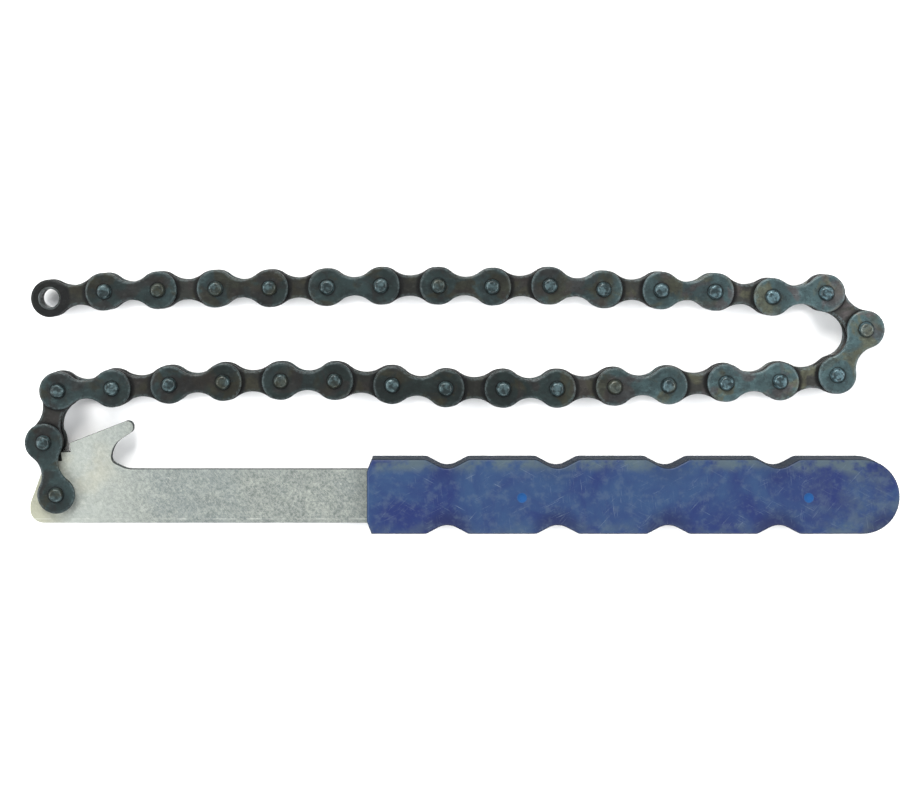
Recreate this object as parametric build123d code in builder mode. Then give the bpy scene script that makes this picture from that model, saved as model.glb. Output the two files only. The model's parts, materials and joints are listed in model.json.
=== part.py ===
import os
from math import radians, tan

from build123d import *

# Chain oil filter wrench, lying flat: a steel bar with a moulded grip, and a roller chain pinned to its head.
# X runs along the bar from the head to the grip, and +Z is up. The grip and the ends of the chain's pins rest
# on Z = 0. The origin is the middle of the bottom face of the whole box.

# Chain plates. Both kinds have the same round ends and holes one pitch apart.
pitch = 12.7
plate_end_diameter = 9.0
plate_thickness = 1.0
outer_waist = 4.3
inner_waist = 4.8

# Pins, bushes and rollers. The worn bores are wider than the pins, so a pulled link is longer than a slack one.
pin_diameter = 3.5
pin_proud = 1.2
pin_chamfer = 0.35
pin_play = 1.0
bush_wall = 0.45
roller_wall = 1.075
roller_clearance = 0.1
inner_gap = 3.3
side_play = 0.15
contact_gap = 0.02

# The photographed lay: the heading of each outer link and the inner link after it, from the anchor pin on.
lay_headings = [
    (103.5, 74.5), (2.5, 3.5), (3, 1), (0, -4), (-3.5, -0.5), (0, 2), (1.5, 2.5), (1.5, 6.5),
    (58, 137.5), (184, 175), (178.5, 179), (176, 181), (179, 180), (181.5, 181), (180.5, 181.5), (181.5, 187),
]
slack_pairs = (1, 9)  # at the two sharp bends the inner link isn't pulled out

# Bar, measured from the anchor pin: the shaft runs to +X and the horn stands up on the chain's side.
horn_side_clearance = 0.15  # between the bar and an inner plate either side of it
shaft_width = 12.7
pin_to_bottom = 6.9
pin_to_heel = 6.55
heel_height = 4.6
heel_radius = 3.2
anchor_hole_clearance = 0.3
tooth_step = 2.1
tooth_undercut = 0.35
tooth_count = 3
pin_to_horn_foot = 2.75
pin_to_horn_tip = 17.9
horn_rise_angle = 21.3
horn_tip_width = 3.05
horn_tip_radius = 1.4
horn_underside_angle = 33
horn_underside_radius = 5.0
horn_root_width = 9.6
gullet_clearance = 1.3  # how much wider than a roller the gullet's mouth is
gullet_radius = 1.9
throat_length = 4.0
throat_radius = 5.0

# Grip, moulded over the tang
grip_start = 73.5
grip_length = 125.7
grip_width = 17.6
grip_thickness = 10.0
grip_below_pin = 9.1
grip_edge_radius = 0.5
mouth_taper_length = 1.1
mouth_taper_depth = 2.9
scallop_count = 4
scallop_spacing = 26.05
first_scallop = 19.0
scallop_width = 10.0
scallop_flank_angle = 28
scallop_radius = 4.5
shoulder_radius = 2.0
tang_end_cover = 9.0
tang_end_radius = 5.0
tang_hole_diameter = 6.0
tang_hole_places = (36.6, 104.2)
dimple_diameter = 2.5
dimple_depth = 0.45

# Sizes that follow from the ones above
bore_diameter = pin_diameter + pin_play
bush_diameter = bore_diameter + 2 * bush_wall
roller_bore = bush_diameter + 2 * roller_clearance
roller_diameter = roller_bore + 2 * roller_wall
roller_length = inner_gap - roller_clearance
inner_width = inner_gap + 2 * plate_thickness
outer_gap = inner_width + 2 * side_play
bar_thickness = inner_gap - 2 * horn_side_clearance
pin_length = outer_gap + 2 * plate_thickness + 2 * pin_proud
mid_height = max(pin_length, grip_thickness) / 2
pulled_span = pitch + pin_play - 2 * contact_gap
end_radius = plate_end_diameter / 2


def step_from(point, heading, length):
    return point + Vector(length, 0).rotate(Axis.Z, heading)


# Pin centres of the lay, with the anchor pin at zero, and the middle and heading of every link
pin_centres = [Vector(0, 0)]
outer_links = []
inner_links = []
for number, (outer_heading, inner_heading) in enumerate(lay_headings, start=1):
    near = pin_centres[-1]
    far = step_from(near, outer_heading, pitch)
    outer_links.append(((near + far) / 2, outer_heading))
    span = pitch if number in slack_pairs else pulled_span
    after = step_from(far, inner_heading, span)
    inner_links.append(((far + after) / 2, inner_heading))
    pin_centres += [far, after]

# The last inner link has no pin in its outer bush, so its box ends one plate end past that bush
free_end = step_from(inner_links[-1][0], lay_headings[-1][1], pitch / 2)
ends = pin_centres[:-1] + [free_end]
leftmost = min(min(point.X for point in ends) - end_radius, -pin_to_heel)
rightmost = max(max(point.X for point in ends) + end_radius, grip_start + grip_length)
lowest = min(min(point.Y for point in ends) - end_radius, -grip_below_pin)
highest = max(max(point.Y for point in ends) + end_radius, grip_width - grip_below_pin)
anchor = Vector(-(leftmost + rightmost) / 2, -(lowest + highest) / 2)


def link_place(link):
    middle, heading = link
    return Location(anchor + middle + Vector(0, 0, mid_height), (0, 0, heading))


def waisted_plate(waist, hole_diameter):
    # Two round ends, joined by a hollow arc on each side that touches both
    half_pitch = pitch / 2
    half_waist = waist / 2
    waist_radius = (half_pitch**2 + half_waist**2 - end_radius**2) / (2 * (end_radius - half_waist))
    touch_x = half_pitch * waist_radius / (end_radius + waist_radius)
    touch_y = (half_waist + waist_radius) * end_radius / (end_radius + waist_radius)
    with BuildPart() as plate:
        with BuildSketch():
            with BuildLine():
                ThreePointArc((touch_x, touch_y), (half_pitch + end_radius, 0), (touch_x, -touch_y))
                ThreePointArc((touch_x, touch_y), (0, half_waist), (-touch_x, touch_y))
                mirror(about=Plane.XZ)
                mirror(about=Plane.YZ)
            make_face()
            with GridLocations(pitch, 0, 2, 1):
                Circle(hole_diameter / 2, mode=Mode.SUBTRACT)
        extrude(amount=plate_thickness / 2, both=True)
    return plate.part


def tube(outer_diameter, bore, length):
    with BuildPart() as ring:
        with BuildSketch():
            Circle(outer_diameter / 2)
            Circle(bore / 2, mode=Mode.SUBTRACT)
        extrude(amount=length / 2, both=True)
    return ring.part


outer_plate = waisted_plate(outer_waist, pin_diameter)
inner_plate = waisted_plate(inner_waist, bush_diameter)
bush = tube(bush_diameter, bore_diameter, inner_width)
roller = tube(roller_diameter, roller_bore, roller_length)

with BuildPart() as pin:
    Cylinder(pin_diameter / 2, pin_length)
    chamfer(pin.edges().filter_by(GeomType.CIRCLE), pin_chamfer)

os.makedirs("parts", exist_ok=True)

# Outer links: two plates, and the two pins riveted in them
outer_plate_height = (outer_gap + plate_thickness) / 2
for number, link in enumerate(outer_links, start=1):
    with BuildPart() as outer_plates:
        with Locations(link_place(link)):
            with Locations((0, 0, outer_plate_height), (0, 0, -outer_plate_height)):
                add(outer_plate)
    outer_plates.part.label = f"outer_plates_{number:02d}"
    export_step(outer_plates.part, f"parts/outer_plates_{number:02d}.step")

    with BuildPart() as link_pins:
        with Locations(link_place(link)):
            with GridLocations(pitch, 0, 2, 1):
                add(pin.part)
    link_pins.part.label = f"link_pins_{number:02d}"
    export_step(link_pins.part, f"parts/link_pins_{number:02d}.step")

# Inner links: two plates pressed on two bushes, with a loose roller on each bush that rests on the lower plate.
# These pieces touch, so they are placed as a compound, which keeps them apart.
inner_plate_height = (inner_gap + plate_thickness) / 2
roller_height = (roller_length - inner_gap) / 2
inner_pieces = [inner_plate.moved(Location((0, 0, side * inner_plate_height))) for side in (1, -1)]
for side in (1, -1):
    inner_pieces.append(bush.moved(Location((side * pitch / 2, 0, 0))))
    inner_pieces.append(roller.moved(Location((side * pitch / 2, 0, roller_height))))
for number, link in enumerate(inner_links, start=1):
    placed = [piece.moved(link_place(link)) for piece in inner_pieces]
    inner_link = Compound(label=f"inner_link_{number:02d}", children=placed)
    export_step(inner_link, f"parts/inner_link_{number:02d}.step")

# Bar: the outline runs from the heel up the toothed face that bears on the filter, round the horn and the
# gullet behind it, along the shaft into the grip and back along the bottom edge. Each corner has a radius.
shaft_top = shaft_width - pin_to_bottom
tang_end = grip_start + grip_length - tang_end_cover
tip_y = shaft_top + roller_diameter + gullet_clearance + horn_tip_width
foot_y = tip_y - (pin_to_horn_tip - pin_to_horn_foot) * tan(radians(horn_rise_angle))
tooth_x = pin_to_horn_foot - tooth_count * tooth_step
tooth_y = foot_y - tooth_count * tooth_step
outline = [
    (-pin_to_heel, -pin_to_bottom, heel_radius),
    (-pin_to_heel, heel_height - pin_to_bottom, heel_radius),
    (tooth_x, tooth_y, 0),
]
for tooth in range(tooth_count):
    tooth_x += tooth_step
    outline.append((tooth_x + tooth_undercut, tooth_y, 0))
    tooth_y += tooth_step
    outline.append((tooth_x, tooth_y, 0))

gullet_x = pin_to_horn_foot + horn_root_width
underside_drop = (pin_to_horn_tip - gullet_x - gullet_radius / 2) * tan(radians(horn_underside_angle))
outline += [
    (pin_to_horn_tip, tip_y, horn_tip_radius),
    (pin_to_horn_tip, tip_y - horn_tip_width, horn_tip_radius),
    (gullet_x + gullet_radius / 2, tip_y - horn_tip_width - underside_drop, horn_underside_radius),
    (gullet_x, shaft_top + gullet_radius, gullet_radius),
    (gullet_x + throat_length, shaft_top, throat_radius),
    (tang_end, shaft_top, tang_end_radius),
    (tang_end, -pin_to_bottom, tang_end_radius),
]
bar_plane = Plane(anchor + Vector(0, 0, mid_height - bar_thickness / 2))
with BuildPart() as bar:
    with BuildSketch(bar_plane):
        with BuildLine():
            corners = [(x, y) for x, y, radius in outline]
            FilletPolyline(corners, radius=[radius for x, y, radius in outline], close=True)
        make_face()
        Circle(pin_diameter / 2 + anchor_hole_clearance, mode=Mode.SUBTRACT)
        with Locations([(grip_start + place, shaft_top - shaft_width / 2) for place in tang_hole_places]):
            Circle(tang_hole_diameter / 2, mode=Mode.SUBTRACT)
    extrude(amount=bar_thickness)
bar.part.label = "bar"
export_step(bar.part, "parts/bar.step")

# Grip: half its outline, mirrored. The plastic also fills the tang's two holes, and sinks a little over them.
half_width = grip_width / 2
flank = radians(scallop_flank_angle)
half_outline = [(0, 0, 0), (0, half_width - mouth_taper_depth, 0), (mouth_taper_length, half_width, 0)]
for number in range(scallop_count):
    middle = first_scallop + number * scallop_spacing
    half_outline += [
        (middle - scallop_width / 2, half_width, shoulder_radius),
        (middle, half_width - scallop_width / 2 * tan(flank), scallop_radius),
        (middle + scallop_width / 2, half_width, shoulder_radius),
    ]
nose_start = grip_length - half_width
half_outline.append((nose_start, half_width, 0))
grip_plane = Plane(anchor + Vector(grip_start, half_width - grip_below_pin, mid_height - grip_thickness / 2))
with BuildPart() as grip:
    with BuildSketch(grip_plane):
        with BuildLine():
            corners = [(x, y) for x, y, radius in half_outline]
            FilletPolyline(corners, radius=[radius for x, y, radius in half_outline[1:-1]])
            CenterArc((nose_start, 0), half_width, 0, 90)
            mirror(about=Plane.XZ)
        make_face()
    extrude(amount=grip_thickness)
    faces_by_height = grip.faces().sort_by(Axis.Z)
    fillet(faces_by_height[0].edges() + faces_by_height[-1].edges(), grip_edge_radius)
    # Shallow round dimples, on both faces
    dimple_radius = (dimple_diameter**2 / 4 + dimple_depth**2) / (2 * dimple_depth)
    dimple_lift = grip_thickness / 2 + dimple_radius - dimple_depth
    dimple_y = anchor.Y + shaft_top - shaft_width / 2
    for place in tang_hole_places:
        for side in (1, -1):
            with Locations((anchor.X + grip_start + place, dimple_y, mid_height + side * dimple_lift)):
                Sphere(dimple_radius, mode=Mode.SUBTRACT)
    add(bar.part, mode=Mode.SUBTRACT)
grip.part.label = "grip"
export_step(grip.part, "parts/grip.step")
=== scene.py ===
import json
import random
from math import atan2, cos, pi, radians, sin

import bmesh
import bpy
from mathutils import Matrix, Vector

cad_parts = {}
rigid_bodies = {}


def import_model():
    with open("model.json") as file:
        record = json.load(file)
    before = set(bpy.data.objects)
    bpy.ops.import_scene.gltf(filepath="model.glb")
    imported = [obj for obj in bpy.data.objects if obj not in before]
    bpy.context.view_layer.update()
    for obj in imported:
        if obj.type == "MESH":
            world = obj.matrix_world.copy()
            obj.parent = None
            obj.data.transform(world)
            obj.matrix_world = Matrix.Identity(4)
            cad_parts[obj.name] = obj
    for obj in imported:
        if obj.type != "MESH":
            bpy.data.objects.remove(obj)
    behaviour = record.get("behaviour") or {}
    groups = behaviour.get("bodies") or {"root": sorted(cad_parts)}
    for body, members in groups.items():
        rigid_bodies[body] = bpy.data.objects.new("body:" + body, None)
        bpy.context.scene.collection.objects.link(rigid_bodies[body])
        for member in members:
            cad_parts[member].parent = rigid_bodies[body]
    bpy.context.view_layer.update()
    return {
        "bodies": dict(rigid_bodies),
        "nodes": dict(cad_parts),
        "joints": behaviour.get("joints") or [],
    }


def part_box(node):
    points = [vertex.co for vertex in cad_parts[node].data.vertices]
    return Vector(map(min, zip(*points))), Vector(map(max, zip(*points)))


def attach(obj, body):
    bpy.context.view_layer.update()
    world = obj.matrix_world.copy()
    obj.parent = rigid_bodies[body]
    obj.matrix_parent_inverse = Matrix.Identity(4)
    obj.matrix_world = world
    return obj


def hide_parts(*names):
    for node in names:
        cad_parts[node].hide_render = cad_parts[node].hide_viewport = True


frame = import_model()
mm = 0.001

# Each link's body hangs on the pin of its own joint. The first pin is the anchor pin in the bar.
hangsOn = {joint["child"]: Vector(joint["pos_m"]) for joint in frame["joints"]}
anchor = hangsOn["outer_link_01"]
linkCount = sum(name.startswith("inner_link") for name in frame["bodies"])


def linkPlace(body, node):
    low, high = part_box(node)
    middle = (low + high) / 2
    along = middle - hangsOn[body]
    return Matrix.Translation(middle) @ Matrix.Rotation(atan2(along.y, along.x), 4, "Z")


class Wire:  # one output of a node; arithmetic on it adds Math nodes
    def __init__(self, finish, socket):
        self.finish, self.socket = finish, socket

    def math(self, operation, *values, clamp=False):
        inputs = dict(enumerate(values))
        return self.finish.node("ShaderNodeMath", {"operation": operation, "use_clamp": clamp}, inputs)

    def __add__(self, other):
        return self.math("ADD", self, other)

    def __sub__(self, other):
        return self.math("SUBTRACT", self, other)

    def __rsub__(self, other):
        return self.math("SUBTRACT", other, self)

    def __mul__(self, other):
        return self.math("MULTIPLY", self, other)

    def __truediv__(self, other):
        return self.math("DIVIDE", self, other)

    __radd__ = __add__
    __rmul__ = __mul__

    def absolute(self):
        return self.math("ABSOLUTE", self)

    def clamped(self):
        return self.math("ADD", self, 0, clamp=True)


class Finish:  # one material on a Principled shader
    def __init__(self, name, metallic=0.0, specular=0.5):
        self.material = bpy.data.materials.new(name)
        self.material.use_nodes = True
        self.tree = self.material.node_tree
        self.shader = self.tree.nodes["Principled BSDF"]
        self.shader.inputs["Metallic"].default_value = metallic
        self.shader.inputs["Specular IOR Level"].default_value = specular
        self.place = self.node("ShaderNodeTexCoord", output="Object")
        self.x, self.y, self.z = (self.node("ShaderNodeSeparateXYZ", inputs={0: self.place}, output=i) for i in range(3))

    def feed(self, socket, value):
        if isinstance(value, Wire):
            self.tree.links.new(value.socket, socket)
        elif hasattr(value, "__len__") and socket.type == "RGBA":
            socket.default_value = (*value, 1)
        else:
            socket.default_value = value

    def node(self, kind, settings=None, inputs=None, output=0):
        made = self.tree.nodes.new(kind)
        for key, value in (settings or {}).items():
            if key != "stops":
                setattr(made, key, value)
                continue
            while len(made.color_ramp.elements) < len(value):
                made.color_ramp.elements.new(0.5)
            for element, (position, colour) in zip(made.color_ramp.elements, value):
                element.position, element.color = position, (*colour, 1)
        for key, value in (inputs or {}).items():
            self.feed(made.inputs[key], value)
        return Wire(self, made.outputs[output])

    def stretched(self, along, heading=0.0):
        # the Object coordinates, turned and divided by the size of a mark along each axis, in mm
        sizes = [1 / (size * mm) for size in along]
        turned = self.node("ShaderNodeVectorRotate", {"rotation_type": "Z_AXIS"}, {"Vector": self.place, "Angle": heading})
        return self.node("ShaderNodeVectorMath", {"operation": "MULTIPLY"}, {0: turned, 1: sizes})

    def noise(self, size, detail=3.0, roughness=0.55, along=(1, 1, 1), heading=0.0, distortion=0.0):
        place = self.stretched([size * share for share in along], heading)
        return self.node("ShaderNodeTexNoise", inputs={
            "Vector": place, "Scale": 1.0, "Detail": detail, "Roughness": roughness, "Distortion": distortion})

    def between(self, value, low, high):
        # 0 below low and 1 above high, with a soft step
        return self.node("ShaderNodeMapRange", {"interpolation_type": "SMOOTHSTEP"}, {
            "Value": value, "From Min": low, "From Max": high, "To Min": 0.0, "To Max": 1.0})

    def attribute(self, name, output="Fac"):
        return self.node("ShaderNodeAttribute", {"attribute_name": name}, output=output)

    def mix(self, share, first, second, mode="MIX"):
        return self.node("ShaderNodeMix", {"data_type": "RGBA", "blend_type": mode, "clamp_factor": True},
                         {0: share, 6: first, 7: second}, output=2)

    def near(self, point, low, high):
        # 1 within low mm of a point in the XY plane, 0 beyond high mm
        across = self.node("ShaderNodeCombineXYZ", inputs={"X": self.x, "Y": self.y})
        distance = self.node("ShaderNodeVectorMath", {"operation": "DISTANCE"}, {0: across, 1: (point.x, point.y, 0)}, output="Value")
        return 1 - self.between(distance, low * mm, high * mm)

    def bump(self, height, strength, distance, under=None):
        inputs = {"Strength": strength, "Distance": distance * mm, "Height": height}
        if under:
            inputs["Normal"] = under
        return self.node("ShaderNodeBump", inputs=inputs)

    def finished(self, colour, roughness, normal=None, metallic=None):
        self.feed(self.shader.inputs["Base Color"], colour)
        self.feed(self.shader.inputs["Roughness"], roughness)
        if normal:
            self.feed(self.shader.inputs["Normal"], normal)
        if metallic:
            self.feed(self.shader.inputs["Metallic"], metallic)
        return self.material


def meshOf(bm, name):
    mesh = bpy.data.meshes.new(name)
    bm.to_mesh(mesh)
    bm.free()
    return mesh


def addPiece(name, mesh, material, body, node, sharpFrom=40):
    extra = mesh.attributes.get("custom_normal")
    if extra:
        mesh.attributes.remove(extra)
    mesh.name = name
    mesh.materials.clear()
    mesh.materials.append(material)
    mesh.shade_smooth()
    mesh.set_sharp_from_angle(angle=radians(sharpFrom))
    piece = bpy.data.objects.new(name, mesh)
    bpy.context.scene.collection.objects.link(piece)
    flats = piece.modifiers.new("flats", "WEIGHTED_NORMAL")  # keeps the flat faces flat beside their rounded edges
    flats.keep_sharp = True
    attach(piece, body)
    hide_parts(node)
    return piece


def gathered(parts):
    # one bmesh from several meshes, each at its own place
    bm = bmesh.new()
    for mesh, place in parts:
        known = len(bm.verts)
        bm.from_mesh(mesh)
        bm.verts.ensure_lookup_table()
        bmesh.ops.transform(bm, matrix=place, verts=bm.verts[known:])
    return bm


def lathed(profile, steps, closed=False):
    # a line of (radius, height) points in mm, spun about Z
    bm = bmesh.new()
    points = [bm.verts.new((radius * mm, 0, height * mm)) for radius, height in profile]
    for first, second in zip(points, points[1:] + points[:1] if closed else points[1:]):
        bm.edges.new((first, second))
    bmesh.ops.spin(bm, geom=bm.verts[:] + bm.edges[:], cent=(0, 0, 0), axis=(0, 0, 1), dvec=(0, 0, 0),
                   angle=2 * pi, steps=steps, use_merge=True, use_duplicate=False)
    bmesh.ops.remove_doubles(bm, verts=bm.verts[:], dist=1e-7)
    bmesh.ops.recalc_face_normals(bm, faces=bm.faces[:])
    return bm


# Chain plates: sizes in mm, as in the CAD. Both kinds are stamped, with one edge rolled over by tumbling.
chain = {
    "pitch": 12.7, "endRadius": 4.5, "thickness": 1.0, "outerWaist": 4.3, "innerWaist": 4.8,
    "pinDiameter": 3.5, "bushDiameter": 5.4, "bore": 4.5, "outerHeight": 3.3, "innerHeight": 2.15,
    "edgeRound": 0.4, "rimWidth": 0.75, "arcSteps": 16, "waistSteps": 7, "holeSteps": 32,
}


def waistedPlate(waist, hole):
    half, end, halfWaist = chain["pitch"] / 2, chain["endRadius"], waist / 2
    waistRadius = (half**2 + halfWaist**2 - end**2) / (2 * (end - halfWaist))
    touch = atan2(halfWaist + waistRadius, -half)  # where the end's arc meets the waist's
    bm = bmesh.new()
    tip = bm.verts.new(((half + end) * mm, 0, 0))
    arc = bmesh.ops.spin(bm, geom=[tip], cent=(half * mm, 0, 0), axis=(0, 0, 1), dvec=(0, 0, 0),
                         angle=touch, steps=chain["arcSteps"], use_merge=False, use_duplicate=False)
    last = [item for item in arc["geom_last"] if isinstance(item, bmesh.types.BMVert)]
    bmesh.ops.spin(bm, geom=last, cent=(0, (halfWaist + waistRadius) * mm, 0), axis=(0, 0, 1), dvec=(0, 0, 0),
                   angle=pi / 2 - touch, steps=chain["waistSteps"], use_merge=False, use_duplicate=False)
    for axis in ("Y", "X"):
        bmesh.ops.mirror(bm, geom=bm.verts[:] + bm.edges[:], matrix=Matrix(), merge_dist=0.01 * mm, axis=axis)
    bmesh.ops.remove_doubles(bm, verts=bm.verts[:], dist=0.01 * mm)
    for side in (1, -1):
        bmesh.ops.create_circle(bm, radius=hole / 2 * mm, segments=chain["holeSteps"],
                                matrix=Matrix.Translation((side * half * mm, 0, 0)))
    bmesh.ops.triangle_fill(bm, edges=bm.edges[:], use_beauty=True, use_dissolve=False, normal=(0, 0, 1))
    bmesh.ops.inset_region(bm, faces=bm.faces[:], thickness=chain["rimWidth"] * mm, use_boundary=True, use_even_offset=True)
    grown = bmesh.ops.extrude_face_region(bm, geom=bm.faces[:], use_keep_orig=True)
    risen = [item for item in grown["geom"] if isinstance(item, bmesh.types.BMVert)]
    bmesh.ops.translate(bm, verts=risen, vec=(0, 0, chain["thickness"] * mm))
    bmesh.ops.translate(bm, verts=bm.verts[:], vec=(0, 0, -chain["thickness"] / 2 * mm))
    bmesh.ops.recalc_face_normals(bm, faces=bm.faces[:])

    def fromHole(point):
        return min((point - Vector((side * half * mm, 0, point.z))).length for side in (1, -1)) - hole / 2 * mm

    outline = [edge for edge in bm.edges if edge.is_manifold and edge.calc_face_angle() > 1
               and fromHole((edge.verts[0].co + edge.verts[1].co) / 2) > 0.1 * mm]
    bmesh.ops.bevel(bm, geom=outline, offset=chain["edgeRound"] * mm, offset_type="OFFSET", segments=3, profile=0.5,
                    affect="EDGES", material=-1)
    # rim is 1 on the rolled edge and fades over the rim's width; own is the place on the plate itself, in mm
    rim = bm.verts.layers.float.new("rim")
    own = bm.verts.layers.float_vector.new("own")
    for vert in bm.verts:
        atHole = fromHole(vert.co) < 0.05 * mm
        vert[rim] = 1.0 if not atHole and any(abs(face.normal.z) < 0.99 for face in vert.link_faces) else 0.0
        vert[own] = vert.co / mm
    return bm


def bluedSteel(name, oily, clean, roughness, gripped, covered):
    # oily and dark along most of the chain, dry and paler towards its far bend
    steel = Finish(name, metallic=0.25, specular=0.22)
    own = steel.attribute("own", "Vector")
    alongPlate, acrossPlate = (steel.node("ShaderNodeSeparateXYZ", inputs={0: own}, output=axis) for axis in (0, 1))
    fromPin = steel.node("ShaderNodeCombineXYZ", inputs={"X": alongPlate.absolute() - chain["pitch"] / 2, "Y": acrossPlate})
    reach = steel.node("ShaderNodeVectorMath", {"operation": "LENGTH"}, {0: fromPin}, output="Value")
    dry = steel.between(steel.x, anchor.x + 95 * mm, anchor.x + 205 * mm)
    drift = steel.between(steel.noise(38, detail=2), 0.44, 0.68)
    cloud = steel.between(steel.noise(5.5, detail=5, roughness=0.62), 0.4, 0.62)
    oil = steel.between(steel.noise(7, detail=4, distortion=0.6), 0.5, 0.62)
    plum = steel.between(steel.noise(8.5, detail=3, distortion=0.8), 0.52, 0.62)
    grain = steel.noise(0.5, detail=4, roughness=0.7)
    dark = steel.between(steel.noise(2.4, detail=5, roughness=0.7), 0.46, 0.6)
    speck = steel.between(steel.noise(0.3, detail=3), 0.6, 0.7)
    rub = steel.between(steel.noise(1.6, detail=5, roughness=0.7, along=(1, 0.5, 1)), 0.52, 0.7)
    rim = steel.attribute("rim")
    colour = steel.mix((dry * 0.85 + drift * 0.25).clamped(), oily, clean)
    colour = steel.mix(oil * 0.8, colour, steel.mix(dry, (0.0135, 0.0125, 0.0080), (0.052, 0.052, 0.034)))
    colour = steel.mix(plum * 0.7, colour, steel.mix(dry, (0.0110, 0.0095, 0.0090), (0.048, 0.040, 0.041)))
    colour = steel.mix(cloud * 0.5, colour, (1.8, 1.9, 1.9), mode="MULTIPLY")
    colour = steel.mix(dark * 0.55, colour, (0.35, 0.36, 0.38), mode="MULTIPLY")
    colour = steel.mix(rub * 0.35, colour, (2.4, 2.5, 2.5), mode="MULTIPLY")
    worn = (rim * steel.between(grain, 0.42, 0.6)).clamped()
    colour = steel.mix(worn * (0.28 + dry * 0.25), colour, (0.085, 0.115, 0.12))
    # painted shade with black dirt: near black round the pin or bush, and just outside the plate that covers this one's
    # end, where the parts shade each other
    shadeAndDirt = 1 - steel.between(reach + grain * 0.3, gripped + 0.12, gripped + 0.55)
    if covered:
        shadeAndDirt = (shadeAndDirt + (1 - steel.between(reach + grain * 0.5, covered + 0.25, covered + 1.0))).clamped()
    colour = steel.mix(shadeAndDirt * 0.88, colour, (0.0022, 0.0026, 0.0028))
    colour = steel.mix(speck * 0.55, colour, (0.004, 0.004, 0.004))
    height = grain * 0.5 + rub * 0.4 - dark * 0.3 - speck * 0.3
    normal = steel.bump(height, 0.5, 0.08)
    normal = steel.bump(steel.noise(2.6, detail=3), 0.6, 0.18, under=normal)
    return steel.finished(colour, roughness + grain * 0.16 - rub * 0.06 + dark * 0.08, normal)


plateBlue = bluedSteel("bluedOuterPlate", (0.0072, 0.0105, 0.0100), (0.034, 0.056, 0.060), 0.27, 1.75, 0)
plateBrown = bluedSteel("bluedInnerPlate", (0.0075, 0.0080, 0.0068), (0.022, 0.022, 0.020), 0.34, 2.7, 4.5)

outerPlate = meshOf(waistedPlate(chain["outerWaist"], chain["pinDiameter"]), "outerPlate")
innerPlate = meshOf(waistedPlate(chain["innerWaist"], chain["bushDiameter"]), "innerPlate")
halfPitch = chain["pitch"] / 2 * mm
for number in range(1, linkCount + 1):
    body, node = f"outer_link_{number:02d}", f"outer_plates_{number:02d}"
    place = linkPlace(body, node)
    bm = gathered([(outerPlate, place @ Matrix.Translation((0, 0, side * chain["outerHeight"] * mm))) for side in (1, -1)])
    addPiece(f"outerPlates{number:02d}", meshOf(bm, "plates"), plateBlue, body, node)
    body = node = f"inner_link_{number:02d}"
    place = linkPlace(body, node)
    bm = gathered([(innerPlate, place @ Matrix.Translation((0, 0, side * chain["innerHeight"] * mm))) for side in (1, -1)])
    addPiece(f"innerPlates{number:02d}", meshOf(bm, "plates"), plateBrown, body, node)
print(f"plates: {4 * linkCount} waisted plates on {2 * linkCount} links")

# Bushes and rollers: the roller turns loose on its bush, and the bush ends flush with the inner plates
sleeve = {"bushLength": 5.3, "bushEdge": 0.12, "rollerOuter": 7.75, "rollerBore": 5.6, "rollerLength": 3.2,
          "rollerEdge": 0.3, "rollerDrop": -0.05, "steps": 48}


def sleeveProfile(outer, bore, length, edge):
    outer, bore, top = outer / 2, bore / 2, length / 2
    corner = [(edge * (1 - cos(turn)), edge * (1 - sin(turn))) for turn in (0, pi / 6, pi / 3, pi / 2)]
    rounded = [(outer - inward, top - down) for inward, down in corner]
    upper = rounded + [(bore + edge * 0.6, top), (bore, top - edge * 0.6)]
    return upper + [(radius, -height) for radius, height in reversed(upper)]


def turnedSteel():
    steel = Finish("turnedSteel", metallic=0.8)
    ring = steel.noise(0.9, detail=3, along=(1, 1, 0.15))
    soil = steel.between(steel.noise(3.0, detail=4, roughness=0.65), 0.42, 0.62)
    colour = steel.mix(soil, (0.085, 0.095, 0.095), (0.025, 0.028, 0.027))
    return steel.finished(colour, 0.3 + soil * 0.25, steel.bump(ring, 0.25, 0.05))


sleeveFinish = turnedSteel()
bush = meshOf(lathed(sleeveProfile(chain["bushDiameter"], chain["bore"], sleeve["bushLength"], sleeve["bushEdge"]),
                     sleeve["steps"], closed=True), "bush")
roller = meshOf(lathed(sleeveProfile(sleeve["rollerOuter"], sleeve["rollerBore"], sleeve["rollerLength"], sleeve["rollerEdge"]),
                       sleeve["steps"], closed=True), "roller")
for number in range(1, linkCount + 1):
    body = f"inner_link_{number:02d}"
    place = linkPlace(body, body)
    for label, mesh, height in (("bushes", bush, 0), ("rollers", roller, sleeve["rollerDrop"])):
        bm = gathered([(mesh, place @ Matrix.Translation((side * halfPitch, 0, height * mm))) for side in (1, -1)])
        addPiece(f"{label}{number:02d}", meshOf(bm, label), sleeveFinish, body, body)
print(f"sleeves: {2 * linkCount} bushes, each with a loose roller")

# Pins: riveted ends, each spread by a few hammer blows, so no two heads are quite alike
pinSize = {"radius": 1.75, "length": 10.0, "steps": 36, "flats": 4, "flatDepth": 0.14, "tilt": 4.0}
hammer = random.Random(20)


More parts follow.
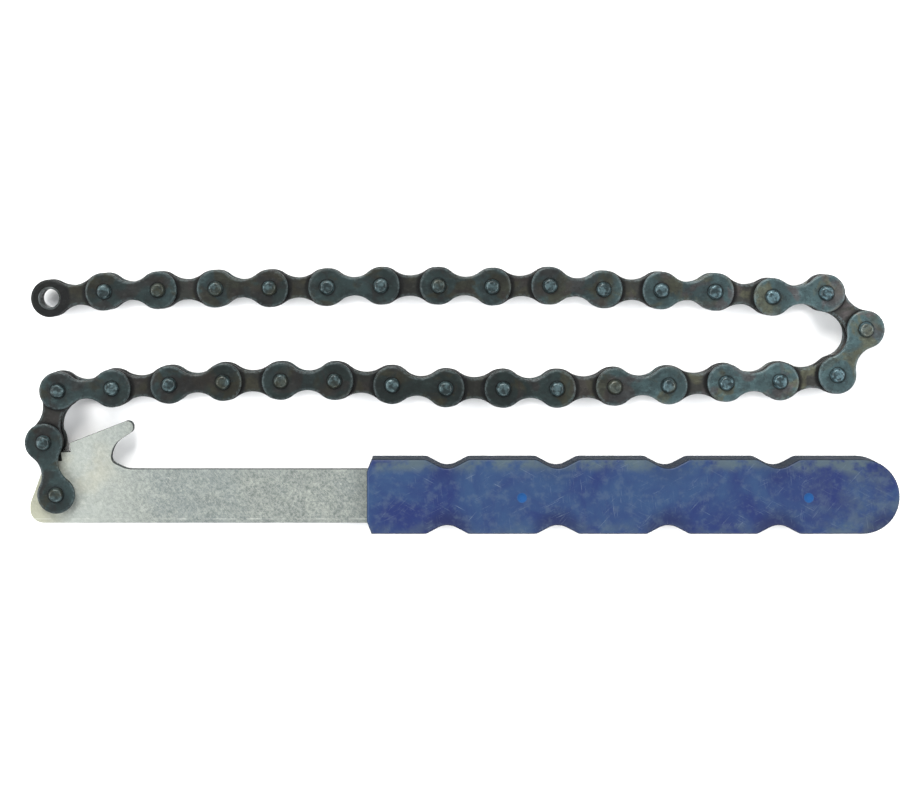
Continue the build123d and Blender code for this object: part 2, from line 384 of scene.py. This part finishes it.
def rivetedPin():
    radius, top = pinSize["radius"], pinSize["length"] / 2
    upper = [(0, top - 0.05), (0.75, top - 0.03), (1.12, top), (1.36, top - 0.1), (1.55, top - 0.3), (1.64, top - 0.55),
             (radius - 0.04, top - 0.9), (radius, top - 1.15)]
    bm = lathed(upper + [(across, -height) for across, height in reversed(upper)], pinSize["steps"])
    face = bm.verts.layers.float.new("face")
    for vert in bm.verts:
        across = Vector((vert.co.x, vert.co.y)).length / mm
        vert[face] = 1.0 if abs(vert.co.z) > (top - 0.15) * mm and across < 1.3 else 0.0
    for side in (1, -1):
        crown = [vert for vert in bm.verts if vert.co.z * side > (top - 0.95) * mm]
        for blow in range(pinSize["flats"]):
            turn = hammer.uniform(0, 2 * pi)
            toward = Vector((cos(turn), sin(turn), 0))
            struck = [vert for vert in crown if vert.co.dot(toward) > (radius - 0.45) * mm]
            for vert in struck:
                deep = (vert.co.dot(toward) / mm - radius + 0.45) / 0.45 * pinSize["flatDepth"]
                bmesh.ops.translate(bm, verts=[vert], vec=-toward * deep * mm)
        lean = Matrix.Rotation(radians(hammer.uniform(-1, 1) * pinSize["tilt"]), 3, "X")
        bmesh.ops.rotate(bm, cent=(0, 0, side * (top - 0.5) * mm), matrix=lean,
                         verts=[vert for vert in crown if vert.co.z * side > (top - 0.35) * mm])
        for vert in crown:  # never longer than the CAD's pin
            vert.co.z = side * min(side * vert.co.z, top * mm)
    return bm


def pinSteel():
    steel = Finish("blueRivet", metallic=0.35, specular=0.35)
    dent = steel.noise(1.2, detail=3, roughness=0.6)
    grain = steel.noise(0.35, detail=3)
    dry = steel.between(steel.x, anchor.x + 95 * mm, anchor.x + 200 * mm)
    olive = steel.between(steel.noise(16, detail=2), 0.54, 0.62)
    worn = steel.between(dent, 0.42, 0.6)
    colour = steel.mix(worn, (0.011, 0.018, 0.019), (0.046, 0.072, 0.077))
    colour = steel.mix(dry * 0.6, colour, (1.9, 2.1, 2.3), mode="MULTIPLY")
    colour = steel.mix(olive * 0.75, colour, steel.mix(dry, (0.022, 0.022, 0.013), (0.075, 0.078, 0.058)))
    centre = steel.attribute("face") * steel.between(steel.noise(0.9, detail=2), 0.5, 0.62)
    colour = steel.mix(centre * 0.5, colour, (0.008, 0.013, 0.014))
    normal = steel.bump(dent, 0.7, 0.3)
    return steel.finished(colour, 0.24 + grain * 0.18, steel.bump(grain, 0.3, 0.04, under=normal))


pinFinish = pinSteel()
for number in range(1, linkCount + 1):
    body, node = f"outer_link_{number:02d}", f"link_pins_{number:02d}"
    place = linkPlace(body, node)
    pins = [(meshOf(rivetedPin(), "pin"), place @ Matrix.Translation((side * halfPitch, 0, 0))) for side in (1, -1)]
    addPiece(f"linkPins{number:02d}", meshOf(gathered(pins), "pins"), pinFinish, body, node, sharpFrom=60)
print(f"pins: {2 * linkCount} riveted pins")


def mergedCopy(node):
    bm = bmesh.new()
    bm.from_mesh(frame["nodes"][node].data)
    bmesh.ops.remove_doubles(bm, verts=bm.verts[:], dist=1e-6)
    bmesh.ops.dissolve_limit(bm, angle_limit=radians(0.5), use_dissolve_boundaries=False, verts=bm.verts[:],
                             edges=bm.edges[:], delimit={"NORMAL"})
    return bm


# Bar: a copy of the CAD bar with its sheared edges just broken. Places are in mm from the anchor pin.
bar = {"edgeBreak": 0.18, "thickness": 3.0, "bottom": -6.9, "crease": ((11.5, 20.0), (18.3, 19.4)), "burnishSheenLine": 0.95}


def zincPlate():
    zinc = Finish("zincPlate", metallic=0.4, specular=0.4)
    spangle = zinc.noise(0.7, detail=7, roughness=0.82)
    blotch = zinc.between(zinc.noise(3.4, detail=5, roughness=0.6, distortion=0.5), 0.4, 0.62)
    flake = zinc.between(zinc.noise(0.42, detail=4, roughness=0.75, along=(2.6, 0.5, 1), heading=0.9), 0.52, 0.66)
    crossing = zinc.between(zinc.noise(0.42, detail=4, roughness=0.75, along=(2.6, 0.5, 1), heading=-0.6), 0.54, 0.68)
    broad = zinc.between(zinc.noise(14, detail=3, distortion=0.4), 0.38, 0.66)
    colour = zinc.mix(zinc.between(spangle, 0.36, 0.64), (0.080, 0.094, 0.089), (0.190, 0.205, 0.190))
    colour = zinc.mix(blotch * 0.45, colour, (1.45, 1.42, 1.36), mode="MULTIPLY")
    colour = zinc.mix(broad * 0.3, colour, (0.120, 0.146, 0.152))
    colour = zinc.mix((flake * 0.45 + crossing * 0.3).clamped(), colour, (0.30, 0.31, 0.275))
    # the plating is lighter on the head, and yellow along its left edge
    head = zinc.between(zinc.x, anchor.x + 30 * mm, anchor.x + 2 * mm)
    colour = zinc.mix(head * 0.4, colour, (0.36, 0.38, 0.345))
    heel = zinc.between(zinc.x + spangle * (3 * mm), anchor.x + 6 * mm, anchor.x - 3 * mm)
    colour = zinc.mix(heel * 0.45, colour, (0.27, 0.255, 0.155))
    stain = zinc.near(anchor + Vector((7, 6, 0)) * mm, 2, 10) * zinc.between(zinc.noise(5, detail=3), 0.4, 0.66)
    colour = zinc.mix(stain * 0.25, colour, (0.34, 0.31, 0.22))
    drag = zinc.between(zinc.noise(0.5, detail=3, along=(9, 0.3, 1), heading=0.02), 0.6, 0.74)
    colour = zinc.mix(drag * 0.22, colour, (0.42, 0.43, 0.42))
    # painted highlight with some burnish: a light line along the bar just above its bottom edge, in place of the sheen
    # of a bevel
    burnishSheenLine = (zinc.y - (anchor.y + (bar["bottom"] + bar["burnishSheenLine"]) * mm)).absolute()
    burnishSheenMask = (1 - zinc.between(burnishSheenLine, 0.02 * mm, 0.14 * mm)) * zinc.between(zinc.noise(2.4, along=(1, 9, 9)), 0.4, 0.6)
    colour = zinc.mix(burnishSheenMask * 0.4, colour, (0.5, 0.51, 0.48))
    (x0, y0), (x1, y1) = bar["crease"]
    run = ((zinc.x - (anchor.x + x0 * mm)) / ((x1 - x0) * mm)).clamped()
    crease = (zinc.y - (anchor.y + y0 * mm) - run * ((y1 - y0) * mm)).absolute()
    creased = (1 - zinc.between(crease, 0.04 * mm, 0.2 * mm)) * zinc.between(zinc.x, anchor.x + 10.5 * mm, anchor.x + 12.5 * mm)
    # painted shade: the crease's groove is painted dark
    colour = zinc.mix(creased * 0.45, colour, (0.10, 0.105, 0.10))
    # painted shade: the side walls and broken edges are painted near black, and are rougher
    cut = zinc.attribute("cut")
    colour = zinc.mix(cut * 0.9, colour, (0.016, 0.020, 0.021))
    height = spangle * 0.6 + flake * 0.4 + crossing * 0.3 + drag * 0.4 - creased * 2
    normal = zinc.bump(height, 0.5, 0.06)
    return zinc.finished(colour, 0.36 + spangle * 0.22 + cut * 0.4, normal)


bm = mergedCopy("bar")
corners = [edge for edge in bm.edges if edge.is_manifold and edge.calc_face_angle() > radians(60)
           and abs(edge.verts[0].co.z - edge.verts[1].co.z) < 0.01 * mm]
bmesh.ops.bevel(bm, geom=corners, offset=bar["edgeBreak"] * mm, offset_type="OFFSET", segments=2, profile=0.5,
                affect="EDGES", material=-1)
# painted shade: 1 on the side walls and 0.6 on the broken edges, which the finish paints dark
cut = bm.faces.layers.float.new("cut")
for face in bm.faces:
    face[cut] = 1.0 if abs(face.normal.z) < 0.3 else 0.6 if abs(face.normal.z) < 0.8 else 0.0
barPiece = addPiece("plateBar", meshOf(bm, "bar"), zincPlate(), "bar", "bar", sharpFrom=30)
print("bar: sheared plate with its horn and teeth")

# Grip: a copy of the CAD grip. Places are in mm from the anchor pin.
grip = {"start": 73.5, "length": 125.7, "halfWidth": 8.8, "midline": -0.3, "thickness": 10.0, "firstScallop": 19.0,
        "scallopSpacing": 26.05, "dimples": (36.6, 104.2), "dimpleLine": -0.55}


def wornBlue():
    plastic = Finish("wornBlueGrip", metallic=0.0, specular=0.25)
    x = plastic.x - (anchor.x + grip["start"] * mm)
    y = plastic.y - (anchor.y + grip["midline"] * mm)
    cloud = plastic.between(plastic.noise(16, detail=4, roughness=0.6, distortion=0.5), 0.36, 0.66)
    fine = plastic.noise(0.6, detail=4, roughness=0.7)
    colour = plastic.mix(cloud, (0.0045, 0.0115, 0.062), (0.0120, 0.0315, 0.080))
    # greenish grey scuffs near the long edges, most along the top, and round the nose
    fromMiddle = y.absolute()
    edgeBand = plastic.between(fromMiddle + plastic.noise(7, detail=4) * (3 * mm), 6.5 * mm, 9.3 * mm)
    upper = plastic.between(y, -3 * mm, 6 * mm) * 0.6 + 0.4
    nose = plastic.between(x + plastic.noise(9, detail=3) * (12 * mm), 106 * mm, 127 * mm)
    scuff = ((edgeBand * upper + nose * 0.55) * plastic.between(plastic.noise(4.5, detail=5, roughness=0.65), 0.36, 0.6)).clamped()
    colour = plastic.mix(scuff * 0.75, colour, (0.042, 0.062, 0.064))
    # painted shade: the finger hollows are painted a deeper navy, most along the lower edge
    along = plastic.node("ShaderNodeMath", {"operation": "FLOORED_MODULO"},
                         {0: x - (grip["firstScallop"] - grip["scallopSpacing"] / 2) * mm, 1: grip["scallopSpacing"] * mm})
    fromScallop = plastic.node("ShaderNodeCombineXYZ", inputs={
        "X": along - grip["scallopSpacing"] / 2 * mm, "Y": fromMiddle - grip["halfWidth"] * mm})
    reach = plastic.node("ShaderNodeVectorMath", {"operation": "LENGTH"}, {0: fromScallop}, output="Value")
    hollowShade = (1 - plastic.between(reach, 3.2 * mm, 7.5 * mm)) * (1 - plastic.between(y, -2 * mm, 4 * mm) * 0.65)
    colour = plastic.mix(hollowShade * 0.75, colour, (0.003, 0.0065, 0.036))
    haze = plastic.between(plastic.noise(2.4, detail=5, roughness=0.7), 0.48, 0.68)
    colour = plastic.mix(haze * 0.3, colour, (0.040, 0.062, 0.092))
    scratches = None
    for size, turn in ((0.34, 0.5), (0.3, -0.45), (0.38, 2.3), (0.3, 1.45)):
        hair = plastic.between(plastic.noise(size, detail=2, along=(22, 0.35, 1), heading=turn), 0.66, 0.74)
        hair = hair * plastic.between(plastic.noise(6, detail=2, heading=turn), 0.5, 0.62)
        scratches = scratches + hair if scratches else hair
    scratches = scratches.clamped()
    colour = plastic.mix(scratches * 0.42, colour, (0.13, 0.17, 0.21))
    speck = plastic.between(plastic.noise(0.5, detail=1), 0.72, 0.78)
    colour = plastic.mix(speck * 0.35, colour, (0.008, 0.012, 0.03))
    # painted shade: the side walls are painted a near black navy, and are rougher
    wall = plastic.attribute("wall")
    colour = plastic.mix(wall * 0.85, colour, (0.0015, 0.0055, 0.013))
    for place in grip["dimples"]:
        spot = anchor + Vector((grip["start"] + place, grip["dimpleLine"], 0)) * mm
        pit = plastic.near(spot, 1.0, 1.3)
        colour = plastic.mix(pit * 0.9, colour, (0.003, 0.044, 0.150))
    height = fine * 0.5 + scratches * -0.8 + haze * 0.3
    normal = plastic.bump(height, 0.35, 0.06)
    normal = plastic.bump(plastic.noise(9, detail=2), 0.35, 0.25, under=normal)
    return plastic.finished(colour, 0.46 + haze * 0.14 + scuff * 0.12 + wall * 0.4, normal)


bm = mergedCopy("grip")
wall = bm.verts.layers.float.new("wall")
low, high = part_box("grip")
for vert in bm.verts:
    vert[wall] = 1.0 if low.z + 0.15 * mm < vert.co.z < high.z - 0.15 * mm else 0.0
addPiece("mouldedGrip", meshOf(bm, "grip"), wornBlue(), "bar", "grip", sharpFrom=35)
print("grip: moulded, with its finger scallops and sink marks")

# Floor, camera and light: straight down on a white table, with the soft light coming over the top of the photo
studio = {"height": 515.0, "axis": (93.12, 60.23), "lens": 85.72, "shift": -160 / 900}
floorFinish = Finish("whiteTable", specular=0.2)
floorTone = floorFinish.mix(floorFinish.noise(60, detail=2), (0.90, 0.90, 0.90), (0.92, 0.92, 0.92))
floorFinish.finished(floorTone, 0.8)
bm = bmesh.new()
bmesh.ops.create_grid(bm, x_segments=1, y_segments=1, size=3.0)
floorMesh = meshOf(bm, "table")
floorMesh.materials.append(floorFinish.material)
floor = bpy.data.objects.new("table", floorMesh)
bpy.context.scene.collection.objects.link(floor)

camera = bpy.data.objects.new("camera", bpy.data.cameras.new("camera"))
camera.data.lens = studio["lens"]
camera.data.sensor_width = 36.0
camera.data.sensor_fit = "HORIZONTAL"
camera.data.shift_y = studio["shift"]
camera.data.clip_start = 0.01
camera.location = (anchor.x + studio["axis"][0] * mm, anchor.y + studio["axis"][1] * mm, studio["height"] * mm)
bpy.context.scene.collection.objects.link(camera)
bpy.context.scene.camera = camera


def softLight(name, place, size, energy, colour):
    light = bpy.data.lights.new(name, "AREA")
    light.shape, light.size, light.energy, light.color = "DISK", size, energy, colour
    lamp = bpy.data.objects.new(name, light)
    lamp.location = place
    lamp.rotation_euler = (-Vector(place)).to_track_quat("-Z", "Y").to_euler()
    bpy.context.scene.collection.objects.link(lamp)


softLight("topLight", (-0.3, 1.0, 1.0), 0.9, 34.0, (1.0, 0.99, 0.97))
softLight("leftLight", (-1.2, -0.1, 0.95), 1.0, 22.0, (0.97, 0.99, 1.0))
softLight("rightLight", (1.2, 0.1, 1.0), 1.0, 20.0, (0.98, 0.99, 1.0))
softLight("frontLight", (0.2, -1.2, 0.9), 1.0, 14.0, (0.98, 0.99, 1.0))
world = bpy.data.worlds.new("room")
world.use_nodes = True
world.node_tree.nodes["Background"].inputs["Color"].default_value = (0.94, 0.97, 1.0, 1)
world.node_tree.nodes["Background"].inputs["Strength"].default_value = 0.45
bpy.context.scene.world = world
bpy.context.scene.view_settings.view_transform = "Standard"

bpy.context.view_layer.update()
